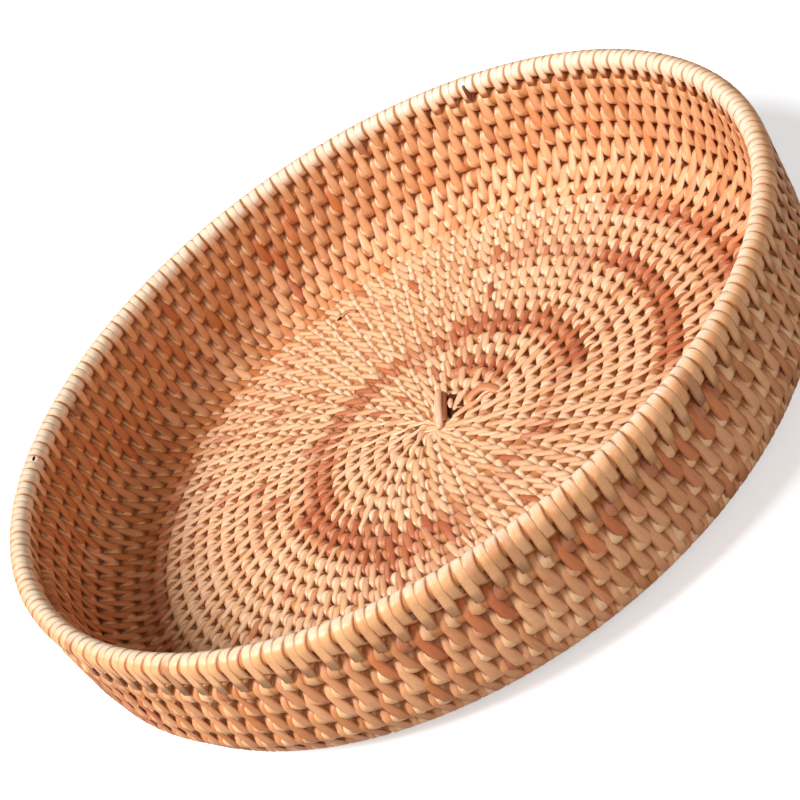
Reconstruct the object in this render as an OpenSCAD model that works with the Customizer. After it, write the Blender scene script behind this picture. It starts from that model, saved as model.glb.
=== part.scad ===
// Round coiled rattan tray, stitched with split cane. Millimetres, +Z up.
// Origin: middle of the round floor, on the table top.
// The coil is one growing chain of half rings (a two-centre spiral): each half
// turn is an exact half torus whose middle sits half way between its two ends,
// so neighbouring half turns share one round face and one direction.

/* [Tray] */
// Diameter of the ring through the middle of the rim coil
rim_d = 240; // [150:1:400]
// Height of the middle of the rim coil above the table
rim_z = 45; // [30:1:90]
// Radius of the bend between floor and wall, at the middle of the coil
corner_r = 17; // [10:0.5:40]
// Outward lean of the wall in degrees
wall_lean = 1; // [0:0.5:12]

/* [Coil] */
// Wanted distance from one turn of the floor coil to the next
floor_step = 5; // [3.5:0.1:9]
// Wanted distance from one turn of the wall coil to the next
wall_step = 6.4; // [4:0.1:10]
// Distance from the middle to the start of the coil
start_r = 3.2; // [2.8:0.1:6]
// Direction of the start of the coil in degrees
start_angle = 60; // [0:5:355]
// Radius of the bare cane inside the floor coil
floor_core_r = 2; // [1.4:0.05:4]
// Radius of the bare cane inside the rim
rim_core_r = 2.75; // [2:0.05:5]

/* [Stitching] */
// Thickness of the split cane
strip_t = 0.4; // [0.25:0.05:0.8]
// Wanted length of one stitch pair along the floor coil
pair_len = 5.1; // [4:0.1:9]
// Stitch pairs in one turn of the wall, and pairs of strips round the rim
wall_pairs = 120; // [60:1:220]
// Share of a pair that one strip covers
strip_share = 0.3; // [0.15:0.01:0.31]
// Draw one stitch pair out of so many (1 draws them all, which is slow)
draw_every = 4; // [1:1:6]

/* [Hidden] */
fit_gap = 0.05;
lean_x = sin(wall_lean);
lean_z = cos(wall_lean);
bend_a = 90 - wall_lean;
// flat part of the floor, found from the rim inwards
coil_z0 = floor_core_r + strip_t;
bend_rise = corner_r * (1 - cos(bend_a));
bend_run = corner_r * sin(bend_a);
wall_len = (rim_z - coil_z0 - bend_rise) / lean_z;
flat_r = rim_d / 2 - wall_len * lean_x - bend_run;
bend_len = corner_r * bend_a * PI / 180;
// whole number of turns in floor and wall
floor_turns = max(8, round((flat_r - start_r) / floor_step));
floor_p = (flat_r - start_r) / floor_turns;
bound_r = min(coil_z0, floor_p / 2 - 0.03);
rim_bound_r = rim_core_r + strip_t;
top_q = flat_r + bend_len + wall_len - 2.05 * rim_bound_r - 0.1;
wall_turns = max(3, round((top_q - flat_r) / wall_step));
// the coil grows thicker from floor to wall; the first turns of the bend lie
// closer together by this much in all
growth = 1.87 * max(0, min(rim_bound_r, wall_step / 2) - bound_r);
wall_p = (top_q - flat_r + growth) / wall_turns;
corner_turns = max(1, round(wall_turns * bend_len / (bend_len + wall_len)));
all_turns = floor_turns + wall_turns;
// the bound coil just fits between its neighbours
wall_bound_r = min(1.05 * rim_bound_r, wall_p / 2 - 0.1);
// a third of a pair more in each turn: the wraps of a turn, its own stitches
// and the next turn's stitches then lie side by side
turn_pairs = round(wall_pairs) + 1 / 3;
pair_a = 360 / turn_pairs;
rim_draw = min(2, draw_every);
// strips round the rim, as shares of a pair; the long ones are narrower, since
// they pass between the wraps of the turn below
rim_short_share = 0.56;
rim_long_share = 0.36;

function sq(x) = x * x;
// distance along the section line for a number of turns
function q_at(u) = u <= floor_turns
    ? start_r + floor_p * u
    : flat_r + wall_p * (u - floor_turns)
        - growth * (1 - sq(max(0, 1 - (u - floor_turns) / 2)));
// section line: flat floor, round bend, straight wall
function r_of(q) = q <= flat_r ? q
    : q <= flat_r + bend_len
    ? flat_r + corner_r * sin((q - flat_r) / corner_r * 180 / PI)
    : flat_r + bend_run + (q - flat_r - bend_len) * lean_x;
function z_of(q) = q <= flat_r ? bound_r
    : q <= flat_r + bend_len
    ? bound_r + corner_r * (1 - cos((q - flat_r) / corner_r * 180 / PI))
    : bound_r + bend_rise + (q - flat_r - bend_len) * lean_z;
// ends, middle, radius and tilt of half turn number i
function ra(i) = r_of(q_at(i / 2));
function za(i) = z_of(q_at(i / 2));
function mid_x(i) = (ra(i) - ra(i + 1)) / 2;
function mid_z(i) = (za(i) + za(i + 1)) / 2;
function half_r(i) = norm([ra(i) + ra(i + 1), za(i + 1) - za(i)]) / 2;
function tilt(i) = atan2(za(i + 1) - za(i), ra(i) + ra(i + 1));
// radius of half turn number i with its binding, and of its bare core
function bound_of(i) = i < 2 * floor_turns ? bound_r
    : min(za(i), bound_r + (wall_bound_r - bound_r)
        * min(1, 0.4 * (i - 2 * floor_turns)));
function core_of(i) = bound_of(i) - strip_t;
// place of the coil at a running direction a (360 degrees for each turn)
function half_of(a) = floor(a / 180);
function in_half(a) = a - 180 * half_of(a);
function reach(i, b) = mid_x(i) * cos(b)
    + sqrt(sq(half_r(i)) - sq(mid_x(i) * sin(b)));
function coil_r(a) = reach(half_of(a), in_half(a));
function coil_z(a) = mid_z(half_of(a)) - (coil_r(a) * cos(in_half(a))
    - mid_x(half_of(a))) * sin(tilt(half_of(a)));
function on_half(a) = atan2(coil_r(a) * sin(in_half(a)),
    coil_r(a) * cos(in_half(a)) - mid_x(half_of(a)));

// stitch zones: the number of pairs in a turn grows with the radius
zone_share = [0, 0.1, 0.2, 0.35, 0.5, 0.7, 0.85, 1];
function zone_turn(k) = round(floor_turns * zone_share[k]);
function zone_pairs(k) = floor(2 * PI * q_at((zone_turn(k)
    + zone_turn(k + 1)) / 2) / pair_len) + 1 / 3;

// one exact half ring of the coil; a rising one stops short of its ends
module half_ring(i) {
    short = za(i + 1) > za(i) ? 0.05 : 0;
    rotate([0, 0, 180 * i])
        translate([mid_x(i), 0, mid_z(i)])
            rotate([0, tilt(i), 0])
                rotate([0, 0, short])
                    rotate_extrude(angle = 180 - 2 * short, $fn = 144)
                        translate([half_r(i), 0])
                            circle(r = core_of(i), $fn = 32);
}

// short sleeve that joins two rising half rings
module joint(i) {
    rotate([0, 0, 180 * i])
        translate([ra(i), 0, za(i)])
            rotate([90, 0, 0])
                cylinder(r = min(core_of(i - 1), core_of(i)) + 0.02, h = 1,
                    center = true, $fn = 48);
}

// bare cane core from one turn to another
module coil(from_turn, to_turn) {
    rotate([0, 0, start_angle])
        for (i = [2 * from_turn : 2 * to_turn - 1]) {
            half_ring(i);
            if (i > 2 * from_turn && za(i + 1) > za(i))
                joint(i);
        }
}

// short wrap: a strip lying round one turn of the coil
module short_wrap(a, width) {
    i = half_of(a);
    da = width / half_r(i) * 180 / PI;
    off = za(i + 1) > za(i) ? 35 / half_r(i) : 0;
    b = min(max(on_half(a) - da / 2, off), 180 - off - da);
    rotate([0, 0, 180 * i])
        translate([mid_x(i), 0, mid_z(i)])
            rotate([0, tilt(i), 0])
                rotate([0, 0, b])
                    rotate_extrude(angle = da, $fn = 96)
                        translate([half_r(i), 0])
                            difference() {
                                circle(r = bound_of(i), $fn = 32);
                                circle(r = core_of(i) + 0.03, $fn = 32);
                            }
}

// outline of a belt round two discs, the second one d along X; where their
// sizes differ, the sides start a hair inside the discs, to cross them cleanly
module belt(d, c0, c1) {
    same = abs(c0 - c1) < 0.001;
    al = same ? 90 : acos((c0 - c1) / d);
    k0 = same ? c0 : c0 * 0.9995;
    k1 = same ? c0 : c1 * 0.9995;
    circle(r = c0, $fn = 32);
    translate([d, 0])
        circle(r = same ? c0 : c1, $fn = 32);
    polygon([[k0 * cos(al), k0 * sin(al)],
        [d + k1 * cos(al), k1 * sin(al)],
        [d + k1 * cos(al), -k1 * sin(al)],
        [k0 * cos(al), -k0 * sin(al)]]);
}

// closed strip loop round two round rods, in the X-Z plane
module strip_loop(d, c0, c1, width) {
    rotate([90, 0, 0])
        translate([0, 0, -width / 2])
            linear_extrude(width)
                difference() {
                    belt(d, c0 + strip_t, c1 + strip_t);
                    belt(d, c0 + fit_gap, c1 + fit_gap);
                }
}

// long stitch: a strip round this turn and the turn before it
module long_stitch(a, width) {
    r0 = coil_r(a - 360);
    z0 = coil_z(a - 360);
    r1 = coil_r(a);
    z1 = coil_z(a);
    rotate([0, 0, in_half(a) + 180 * half_of(a)])
        translate([r0, 0, z0])
            rotate([0, -atan2(z1 - z0, r1 - r0), 0])
                strip_loop(norm([r1 - r0, z1 - z0]),
                    core_of(half_of(a) - 2), core_of(half_of(a)), width);
}

// short wraps of one zone of turns
module wraps(t0, t1, pairs) {
    step = 360 / pairs;
    rotate([0, 0, start_angle])
        for (j = [ceil(360 * t0 / step) : draw_every
            : floor(360 * t1 / step) - 1])
            short_wrap((j + 1 / 3) * step, strip_share * step * PI / 180
                * coil_r(max(j * step - 360, 90)));
}

// long stitches of one zone of turns, from its second turn on
module longs(t0, t1, pairs) {
    step = 360 / pairs;
    rotate([0, 0, start_angle])
        for (j = [ceil(360 * (t0 + 1) / step) : draw_every
            : floor(360 * t1 / step) - 1])
            long_stitch(j * step, strip_share * step * PI / 180
                * coil_r(j * step - 360));
}

module floor_wraps(k0, k1) {
    for (k = [k0 : k1])
        wraps(zone_turn(k), zone_turn(k + 1), zone_pairs(k));
}

module floor_longs(k0, k1) {
    for (k = [k0 : k1])
        longs(zone_turn(k), zone_turn(k + 1), zone_pairs(k));
}

module centre_core() {
    color("#d9a86c") coil(0, zone_turn(3));
}

module floor_core() {
    color("#d4a265") coil(zone_turn(3), floor_turns);
}

module corner_core() {
    color("#cf9c60") coil(floor_turns, floor_turns + corner_turns);
}

module wall_core() {
    color("#cb965a") coil(floor_turns + corner_turns, all_turns);
}

// pared end of the coil, filling the gap under the rim
module core_tail() {
    sides = 10;
    steps = 50;
    sweep = 250;
    low = rim_z - rim_bound_r;
    last_i = 2 * all_turns - 1;
    function t_r(k) = (core_of(last_i) - 0.02) * (1 - 0.8 * k / steps);
    function t_a(k) = 360 * all_turns + 1 + sweep * k / steps;
    function t_z(k) = coil_z(t_a(k) - 360) + bound_of(last_i)
        + (low - coil_z(t_a(k) - 360) - bound_of(last_i)) / 2;
    pts = [for (k = [0 : steps]) for (s = [0 : sides - 1])
        let (a = t_a(k), c = 360 * s / sides,
            r = rim_d / 2 + t_r(k) * cos(c))
        [r * cos(a), r * sin(a), t_z(k) + t_r(k) * sin(c)]];
    skin = [for (k = [0 : steps - 1]) for (s = [0 : sides - 1])
        let (n = (s + 1) % sides)
        [k * sides + s, k * sides + n, (k + 1) * sides + n,
            (k + 1) * sides + s]];
    start = [for (s = [0 : sides - 1]) sides - 1 - s];
    last = [for (s = [0 : sides - 1]) steps * sides + s];
    color("#c8925a")
        rotate([0, 0, start_angle])
            polyhedron(points = pts, faces = concat(skin, [start], [last]));
}

module rim_core() {
    color("#d9a86c")
        translate([0, 0, rim_z])
            rotate_extrude($fn = 180)
                translate([rim_d / 2, 0])
                    circle(r = rim_core_r, $fn = 32);
}

module centre_short_wraps() {
    color("#f0cd9c") floor_wraps(0, 2);
}

module centre_long_stitches() {
    color("#eec391") floor_longs(0, 2);
}

module middle_short_wraps() {
    color("#f0cd9c") floor_wraps(3, 4);
}

module middle_long_stitches() {
    color("#e8a878") floor_longs(3, 4);
}

module outer_short_wraps() {
    color("#f0cd9c") floor_wraps(5, 6);
}

module outer_long_stitches() {
    color("#eec391") floor_longs(5, 6);
}

module corner_short_wraps() {
    color("#ecc494")
        wraps(floor_turns, floor_turns + corner_turns, turn_pairs);
}

module corner_long_stitches() {
    color("#e2a877")
        longs(floor_turns, floor_turns + corner_turns, turn_pairs);
}

module wall_short_wraps() {
    color("#ecc494")
        wraps(floor_turns + corner_turns, all_turns, turn_pairs);
}

module wall_long_stitches() {
    color("#d98c58")
        longs(floor_turns + corner_turns - 1, all_turns, turn_pairs);
}

// running numbers of the pairs round the rim, which keep on from the wall's
rim_first = ceil(360 * all_turns / pair_a);
rim_last = floor(360 * (all_turns + 1) / pair_a) - 1;

// short rim strips, lying round the rim cane only
module rim_short_wraps() {
    color("#f4dcb4")
        translate([0, 0, rim_z])
            for (j = [rim_first : rim_draw : rim_last])
                rotate([0, 0, start_angle
                    + (j + 0.5 - rim_short_share / 2) * pair_a])
                    rotate_extrude(angle = rim_short_share * pair_a,
                        $fn = 180)
                        translate([rim_d / 2, 0])
                            difference() {
                                circle(r = rim_bound_r, $fn = 32);
                                circle(r = rim_core_r, $fn = 32);
                            }
}

// long rim strips, over the rim cane and the first turn under it
module rim_long_stitches() {
    color("#f0d3a6")
        for (j = [rim_first : rim_draw : rim_last])
            rim_strip(j * pair_a);
}

module rim_strip(a) {
    low_r = coil_r(a - 360);
    low_z = coil_z(a - 360);
    top_r = rim_d / 2;
    rotate([0, 0, start_angle + a])
        translate([low_r, 0, low_z])
            rotate([0, -atan2(rim_z - low_z, top_r - low_r), 0])
                strip_loop(norm([top_r - low_r, rim_z - low_z]),
                    core_of(2 * all_turns - 1), rim_core_r,
                    rim_long_share * pair_a * PI / 180 * top_r);
}

// dark strip end that closes the rim binding
splice_wide = 2.3;

module rim_joint_wrap() {
    color("#6b3a1c")
        translate([0, 0, rim_z])
            rotate([0, 0, start_angle - 8])
                rotate_extrude(angle = splice_wide / rim_d * 360 / PI,
                    $fn = 180)
                    translate([rim_d / 2, 0])
                        difference() {
                            circle(r = rim_bound_r + strip_t, $fn = 32);
                            circle(r = rim_bound_r + 0.02, $fn = 32);
                        }
}

// cane loop standing over the start of the coil
module start_loop() {
    color("#f2d6ac")
        translate([3.6, 4.6, 2 * bound_r - 8.2])
            rotate([0, 0, 71])
                rotate([90, 0, 0])
                    translate([0, 0, -1.3])
                        rotate([0, 0, 48])
                            rotate_extrude(angle = 84, $fn = 64)
                                translate([11, 0])
                                    square([0.5, 2.6]);
}

// loose end of the first strip, lying in a curve on the floor
module start_tail() {
    color("#e0a676")
        translate([15, -8.4, 2 * bound_r])
            rotate([0, 0, 35])
                rotate_extrude(angle = 95, $fn = 64)
                    translate([7, 0])
                        square([2.2, 0.5]);
}

centre_core();
floor_core();
corner_core();
wall_core();
core_tail();
rim_core();
centre_short_wraps();
centre_long_stitches();
middle_short_wraps();
middle_long_stitches();
outer_short_wraps();
outer_long_stitches();
corner_short_wraps();
corner_long_stitches();
wall_short_wraps();
wall_long_stitches();
rim_short_wraps();
rim_long_stitches();
rim_joint_wrap();
start_loop();
start_tail();
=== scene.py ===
import math

import bpy
import numpy as np
from mathutils import Matrix, Vector
from mathutils.bvhtree import BVHTree


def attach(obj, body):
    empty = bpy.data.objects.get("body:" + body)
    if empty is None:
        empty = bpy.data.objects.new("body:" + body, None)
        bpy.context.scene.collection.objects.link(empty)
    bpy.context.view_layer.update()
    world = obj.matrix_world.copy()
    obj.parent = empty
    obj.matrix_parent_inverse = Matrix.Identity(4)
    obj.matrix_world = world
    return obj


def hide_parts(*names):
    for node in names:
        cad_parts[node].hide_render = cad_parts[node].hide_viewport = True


# Coiled rattan tray. The bare coil is the CAD model's; the split cane that binds it is made here,
# strip by strip, on the same two-centre spiral. Lengths are millimetres until metres() is called.

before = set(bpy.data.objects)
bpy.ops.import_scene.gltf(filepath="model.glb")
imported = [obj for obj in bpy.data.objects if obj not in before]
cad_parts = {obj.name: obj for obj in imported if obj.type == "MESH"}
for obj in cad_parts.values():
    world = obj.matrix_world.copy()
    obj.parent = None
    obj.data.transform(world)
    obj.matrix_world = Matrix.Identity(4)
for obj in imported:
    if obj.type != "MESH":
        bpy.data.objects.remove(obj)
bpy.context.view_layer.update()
print("frame loaded")

rng = np.random.default_rng(41)

# points of the photograph, x to the right and y down, and the side of its square frame
photoSize = 800.0
imagePoints = {
    "leftEdge": (11, 542),
    "topEdge": (611, 50),
    "bottomEdge": (276, 749),
    "loopTop": (438, 391),
    "loopMid": (438, 408),
    "loopLow": (440, 428),
    "startHole": (452, 405),
    "startKnob": (450.5, 403),
    "tailFrom": (467, 403),
    "tailRise": (474, 393),
    "tailMid": (483, 394),
    "tailTop": (485, 387),
    "tailTip": (500, 391),
    "tuckedFrom": (340, 319),
    "tuckedMid": (347, 312),
    "tuckedTip": (357, 311),
    "spliceTop": (459, 77),
    "spliceMid": (464, 88),
    "spliceLow": (472, 101),
    "rimPeg": (37.5, 458),
}

camera = {
    "lens": 76.4,
    "sensor": 36.0,
    "place": (0.0, -424.68, 279.51),
    "pan": 0.581,  # degrees that the view turns left of straight ahead
    "down": 31.615,  # degrees below level
    "roll": 35.59,  # degrees that the camera leans over
}

tray = {
    "rimR": 120.0,
    "rimZ": 45.0,
    "cornerR": 17.0,
    "lean": 1.0,  # degrees that the wall leans outwards
    "floorStep": 5.0,  # wanted distance from one turn to the next
    "wallStep": 6.4,
    "startR": 3.2,
    "startAngle": 60.0,
    "stripT": 0.4,  # thickness of the split cane
    "rimCoreR": 2.75,
    "floorBoundR": 2.4,  # radius of the floor's coil with its strips
}


def metres(points):
    return np.asarray(points, dtype=np.float64) * 0.001


# The camera is settled on leftEdge, topEdge and bottomEdge. Its axes are the forward direction
# from pan and down, and the level and rising directions turned round it by roll.
def makeCamera():
    data = bpy.data.cameras.new("photoCamera")
    data.sensor_fit = "AUTO"
    data.lens = camera["lens"]
    data.sensor_width = camera["sensor"]
    pan, down, roll = (math.radians(camera[k]) for k in ("pan", "down", "roll"))
    forward = Vector((-math.sin(pan) * math.cos(down), math.cos(pan) * math.cos(down),
                      -math.sin(down)))
    level = forward.cross(Vector((0, 0, 1))).normalized()
    rise = level.cross(forward)
    right = level * math.cos(roll) - rise * math.sin(roll)
    up = level * math.sin(roll) + rise * math.cos(roll)
    placed = Matrix((right, up, -forward)).transposed().to_4x4()
    placed.translation = Vector(metres(camera["place"]))
    viewer = bpy.data.objects.new("photoCamera", data)
    viewer.matrix_world = placed
    bpy.context.scene.collection.objects.link(viewer)
    bpy.context.scene.camera = viewer
    return viewer, placed


viewer, cameraMatrix = makeCamera()
print("camera placed")


def sightLine(point):  # where the camera stands and which way it sees a point of the photograph
    ray = Vector((point[0] - photoSize / 2 + viewer.data.shift_x * photoSize,
                  photoSize / 2 - point[1] + viewer.data.shift_y * photoSize,
                  -photoSize * viewer.data.lens / viewer.data.sensor_width))
    return cameraMatrix.translation, (cameraMatrix.to_3x3() @ ray).normalized()


# The coil is a chain of half rings, worked out as in the part's source: a flat floor, a round
# bend and a straight wall, with whole numbers of turns.
coil = {
    "rimRoom": 2.05,  # from the rim down to the last turn, in bound radii of the rim
    "gap": 0.1,  # left clear there, and beside each turn of the wall
    "growShare": 1.87,  # how much closer the first turns of the bend lie, in radii gained
    "growStep": 0.4,  # share of its growth that the coil makes in each half ring
    "wallFill": 1.05,  # most that the wall's bound radius may be, in bound radii of the rim
    "tailSweep": 250,  # degrees that the pared tail runs
    "tailThin": 0.8,  # share of its thickness that the tail loses on the way
    "tailBound": 120,  # degrees of the tail that are bound as a turn of the wall
}

leanX = math.sin(math.radians(tray["lean"]))
leanZ = math.cos(math.radians(tray["lean"]))
bendTurn = math.radians(90 - tray["lean"])
bendRise = tray["cornerR"] * (1 - math.cos(bendTurn))
bendRun = tray["cornerR"] * math.sin(bendTurn)
bendLen = tray["cornerR"] * bendTurn
wallLen = (tray["rimZ"] - tray["floorBoundR"] - bendRise) / leanZ
flatR = tray["rimR"] - wallLen * leanX - bendRun
rimBoundR = tray["rimCoreR"] + tray["stripT"]
floorTurns = round((flatR - tray["startR"]) / tray["floorStep"])
floorStep = (flatR - tray["startR"]) / floorTurns
topQ = flatR + bendLen + wallLen - coil["rimRoom"] * rimBoundR - coil["gap"]
wallTurns = round((topQ - flatR) / tray["wallStep"])
gained = max(0, min(rimBoundR, tray["wallStep"] / 2) - tray["floorBoundR"])
growth = coil["growShare"] * gained
wallStep = (topQ - flatR + growth) / wallTurns
cornerTurns = round(wallTurns * bendLen / (bendLen + wallLen))
allTurns = floorTurns + wallTurns
wallBoundR = min(coil["wallFill"] * rimBoundR, wallStep / 2 - coil["gap"])
tailStart = 360 * allTurns  # running angle where the pared end of the coil begins
startRad = math.radians(tray["startAngle"])


# distance along the section line after so many turns: even steps on the floor and up the wall,
# with the growth taken off over the bend's first two turns
def qAt(turns):
    past = turns - floorTurns
    return np.where(past <= 0, tray["startR"] + floorStep * turns,
                    flatR + wallStep * past - growth * (1 - np.maximum(0, 1 - past / 2) ** 2))


# radius, height and slope of the section line at distance q: flat, round bend, straight wall
def sectionPlace(q):
    bend = np.clip((q - flatR) / tray["cornerR"], 0, bendTurn)
    past = np.maximum(q - flatR - bendLen, 0)
    r = np.minimum(q, flatR) + tray["cornerR"] * np.sin(bend) + past * leanX
    z = tray["floorBoundR"] + tray["cornerR"] * (1 - np.cos(bend)) + past * leanZ
    return r, z, bend


# Radius, height, slope and bound radius of the whole coil at running angles a. Each half ring is
# a circle whose middle lies half way between its two ends and which tilts from one to the other.
def chainPlace(a):
    half = np.floor(a / 180)
    b = np.radians(a - 180 * half)
    r0, z0, _ = sectionPlace(qAt(half / 2))
    r1, z1, _ = sectionPlace(qAt(half / 2 + 0.5))
    midX, midZ = (r0 - r1) / 2, (z0 + z1) / 2
    halfR = np.hypot(r0 + r1, z1 - z0) / 2
    tilt = np.arctan2(z1 - z0, r0 + r1)
    r = midX * np.cos(b) + np.sqrt(halfR ** 2 - (midX * np.sin(b)) ** 2)
    z = midZ - (r * np.cos(b) - midX) * np.sin(tilt)
    slope = sectionPlace(qAt(a / 360))[2]
    floorBound = tray["floorBoundR"]
    share = np.clip(coil["growStep"] * (half - 2 * floorTurns), 0, 1)
    grown = floorBound + (wallBoundR - floorBound) * share
    bound = np.where(half < 2 * floorTurns, floorBound, np.minimum(grown, z0))
    return r, z, slope, bound


# the same with the pared tail, which lies midway between the last turn and the rim
def coilPlace(a):
    a = np.asarray(a, dtype=np.float64)
    r, z, slope, bound = chainPlace(np.minimum(a, tailStart - 0.01))
    below = chainPlace(np.clip(a, tailStart, None) - 360)[1] + wallBoundR
    share = np.clip((a - tailStart) / coil["tailSweep"], 0, 1)
    tailZ = (below + tray["rimZ"] - rimBoundR) / 2
    core = wallBoundR - tray["stripT"] - 0.02  # just thinner than the turn that it continues
    tailR = core * (1 - coil["tailThin"] * share) + tray["stripT"]
    onTail = a >= tailStart
    return (np.where(onTail, tray["rimR"], r), np.where(onTail, tailZ, z), slope,
            np.where(onTail, tailR, bound))


def turned(r, z, theta):  # cylinder coordinates to points
    return np.stack(np.broadcast_arrays(r * np.cos(theta), r * np.sin(theta), z), axis=-1)


# where the cane is stained: from q, to q, from angle, to angle and strength, where q is the
# distance along the section line and the angles are degrees
stains = [
    (36, 45, 60, 190, 0.75), (38, 50, 20, 62, 0.95), (42, 50, -22, 22, 1.0),
    (38, 51, 178, 222, 0.85), (40, 56, -142, -98, 0.7), (38, 44, -102, -20, 0.45),
    (22, 30, 0, 55, 0.9), (73, 80, -36, 22, 0.9), (73, 80, 20, 62, 0.5),
    (95, 104, -16, 30, 0.8), (90, 93.5, -16, 6, 0.8), (69, 74, 120, 130, 0.7),
    (95, 106, 138, 182, 0.55), (133, 143, 90, 98, 1.0), (60, 66, 150, 185, 0.35),
    (57, 62, 60, 100, 0.3), (84, 90, 100, 140, 0.25), (60, 66, 222, 262, 0.35),
    (139, 152, -116, -58, 0.90), (118, 150, 165, 215, 0.30),
]
softEdge = {"degrees": 6, "q": 2}  # width of a patch's soft edge


def stainAt(q, theta):  # soft-edged patches, joined by taking the strongest
    deg = np.degrees(theta)
    total = np.zeros(np.broadcast(q, deg).shape)
    for q0, q1, t0, t1, strength in stains:
        away = (deg - (t0 + t1) / 2 + 180) % 360 - 180
        inside = ((t1 - t0) / 2 - np.abs(away)) / softEdge["degrees"]
        alongEdge = np.clip(inside + 0.5, 0, 1)
        inside = ((q1 - q0) / 2 - np.abs(q - (q0 + q1) / 2)) / softEdge["q"]
        acrossEdge = np.clip(inside + 0.5, 0, 1)
        total = np.maximum(total, strength * alongEdge * acrossEdge)
    return total


# cross-sections of a strip of split cane: places across it, from -1 to 1, and heights there
roundCrown = (np.array([-1.0, -0.62, 0.0, 0.62, 1.0]), np.array([0.0, 0.78, 1.0, 0.78, 0.0]))
flatCrown = (np.array([-1.0, -0.96, -0.6, 0.0, 0.6, 0.96, 1.0]),
             np.array([0.0, 0.62, 0.93, 1.0, 0.93, 0.62, 0.0]))


# A mesh of four-sided faces as a piece of the tray, with values for each vertex as attributes.
def addPiece(name, verts, faces, attributes, material):
    mesh = bpy.data.meshes.new(name)
    mesh.vertices.add(len(verts))
    mesh.vertices.foreach_set("co", metres(verts).astype(np.float32).ravel())
    mesh.loops.add(faces.size)
    mesh.loops.foreach_set("vertex_index", faces.astype(np.int32).ravel())
    mesh.polygons.add(len(faces))
    mesh.polygons.foreach_set("loop_start", np.arange(0, faces.size, 4, dtype=np.int32))
    mesh.polygons.foreach_set("use_smooth", np.ones(len(faces), dtype=bool))
    mesh.update(calc_edges=True)
    for key, values in attributes.items():
        kind = "FLOAT_VECTOR" if values.ndim == 2 else "FLOAT"
        layer = mesh.attributes.new(key, kind, "POINT")
        layer.data.foreach_set("vector" if values.ndim == 2 else "value",
                               values.astype(np.float32).ravel())
    mesh.materials.append(material)
    mesh.validate()
    piece = bpy.data.objects.new(name, mesh)
    bpy.context.scene.collection.objects.link(piece)
    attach(piece, "root")
    return piece


# A strip is a closed crowned band: mid line + side * halfWidth * across + out * thick * crown
# height. path, out and side are (strips, steps, 3); halfWidth and thick are (strips, steps).
# The attribute strip is the place on the strip: across it, along it, and across from -1 to 1.
def bandMesh(path, out, side, halfWidth, thick, crown=roundCrown):
    n, m = path.shape[:2]
    crownAcross, crownHeight = crown
    verts = (path[:, :, None] + side[:, :, None] * (halfWidth[..., None] * crownAcross)[..., None]
             + out[:, :, None] * (thick[..., None] * crownHeight)[..., None])
    k = len(crownAcross)
    index = np.arange(n * m * k).reshape(n, m, k)
    nxt = np.roll(index, -1, axis=1)
    faces = np.stack([index[..., :-1], index[..., 1:], nxt[..., 1:], nxt[..., :-1]], axis=-1)
    run = np.linalg.norm(np.diff(path, axis=1, prepend=path[:, :1]), axis=-1).cumsum(axis=1)
    strip = np.stack([halfWidth[..., None] * crownAcross,
                      np.broadcast_to(run[..., None], (n, m, k))
                      + rng.uniform(0, 400, n)[:, None, None],
                      np.broadcast_to(crownAcross, (n, m, k))], axis=-1)
    return verts.reshape(-1, 3), faces.reshape(-1, 4), strip.reshape(-1, 3)


def spread(values, count):  # one value for each strip to one for each of its vertices
    return np.repeat(values, count // len(values))


# Where each strip lies and how wide it is, as parts of a pair. A long strip's top lies at 0 on
# its own turn and low is where its lower end lies, from there; pad is the short wrap beside it.
# In and Out are the tray's inner and outer side, on the floor its upper and under side.
floorLook = {"lowIn": -0.36, "lowOut": 0.30, "padIn": 0.33, "padOut": 0.34, "longTop": 0.40,
             "longLow": 0.48, "padWideIn": 0.38, "padWideOut": 0.38}
wallLook = {"lowIn": 0.05, "lowOut": 0.22, "padIn": 0.74, "padOut": 0.31, "longTop": 0.41,
            "longLow": 0.66, "padWideIn": 0.46, "padWideOut": 0.60}

# zones of the coil, from and to in turns, with the pairs of strips in each of their turns
floorMarks = [0, 2, 4, 7, 10, 14, 17, 20]
floorPairs = [10, 21, 36, 52, 72, 92, 104]
wallPairs = 120.6
wallPair = 360 / wallPairs
wallStart = floorTurns + cornerTurns
zones = [{"from": floorMarks[k], "to": floorMarks[k + 1], "pairs": floorPairs[k],
          "look": floorLook} for k in range(7)]
zones.append({"from": floorTurns, "to": wallStart, "pairs": wallPairs, "look": wallLook})
zones.append({"from": wallStart, "to": allTurns + coil["tailBound"] / 360, "pairs": wallPairs,
              "look": wallLook})


# Place on the bare cane's surface at running angle a, with the direction out of it, the direction
# along the coil and the coil's radius. psi is 0 on the tray's outer or under side, a quarter turn
# towards the next turn of the coil, and half a turn on the tray's inside.
def rodFrame(a, psi):
    r, z, slope, bound = coilPlace(a)
    core = bound - tray["stripT"]
    outR = np.sin(slope) * np.cos(psi) + np.cos(slope) * np.sin(psi)
    outZ = -np.cos(slope) * np.cos(psi) + np.sin(slope) * np.sin(psi)
    theta = np.radians(a) + startRad
    place = turned(r + core * outR, z + core * outZ, theta)
    out = np.stack([outR * np.cos(theta), outR * np.sin(theta), outZ], axis=-1)
    side = np.stack([-np.sin(theta), np.cos(theta), np.zeros_like(theta)], axis=-1)
    return place, out, side, r


# A short strip is a ring round one turn, which leans from padIn to padOut as the cosine of psi
# goes from -1 to 1, and is narrower where it passes between two turns.
wrap = {"jitter": 0.045, "narrow": 0.72, "facing": 0.28, "widthSpread": 0.10, "thinnest": 0.8}


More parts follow.
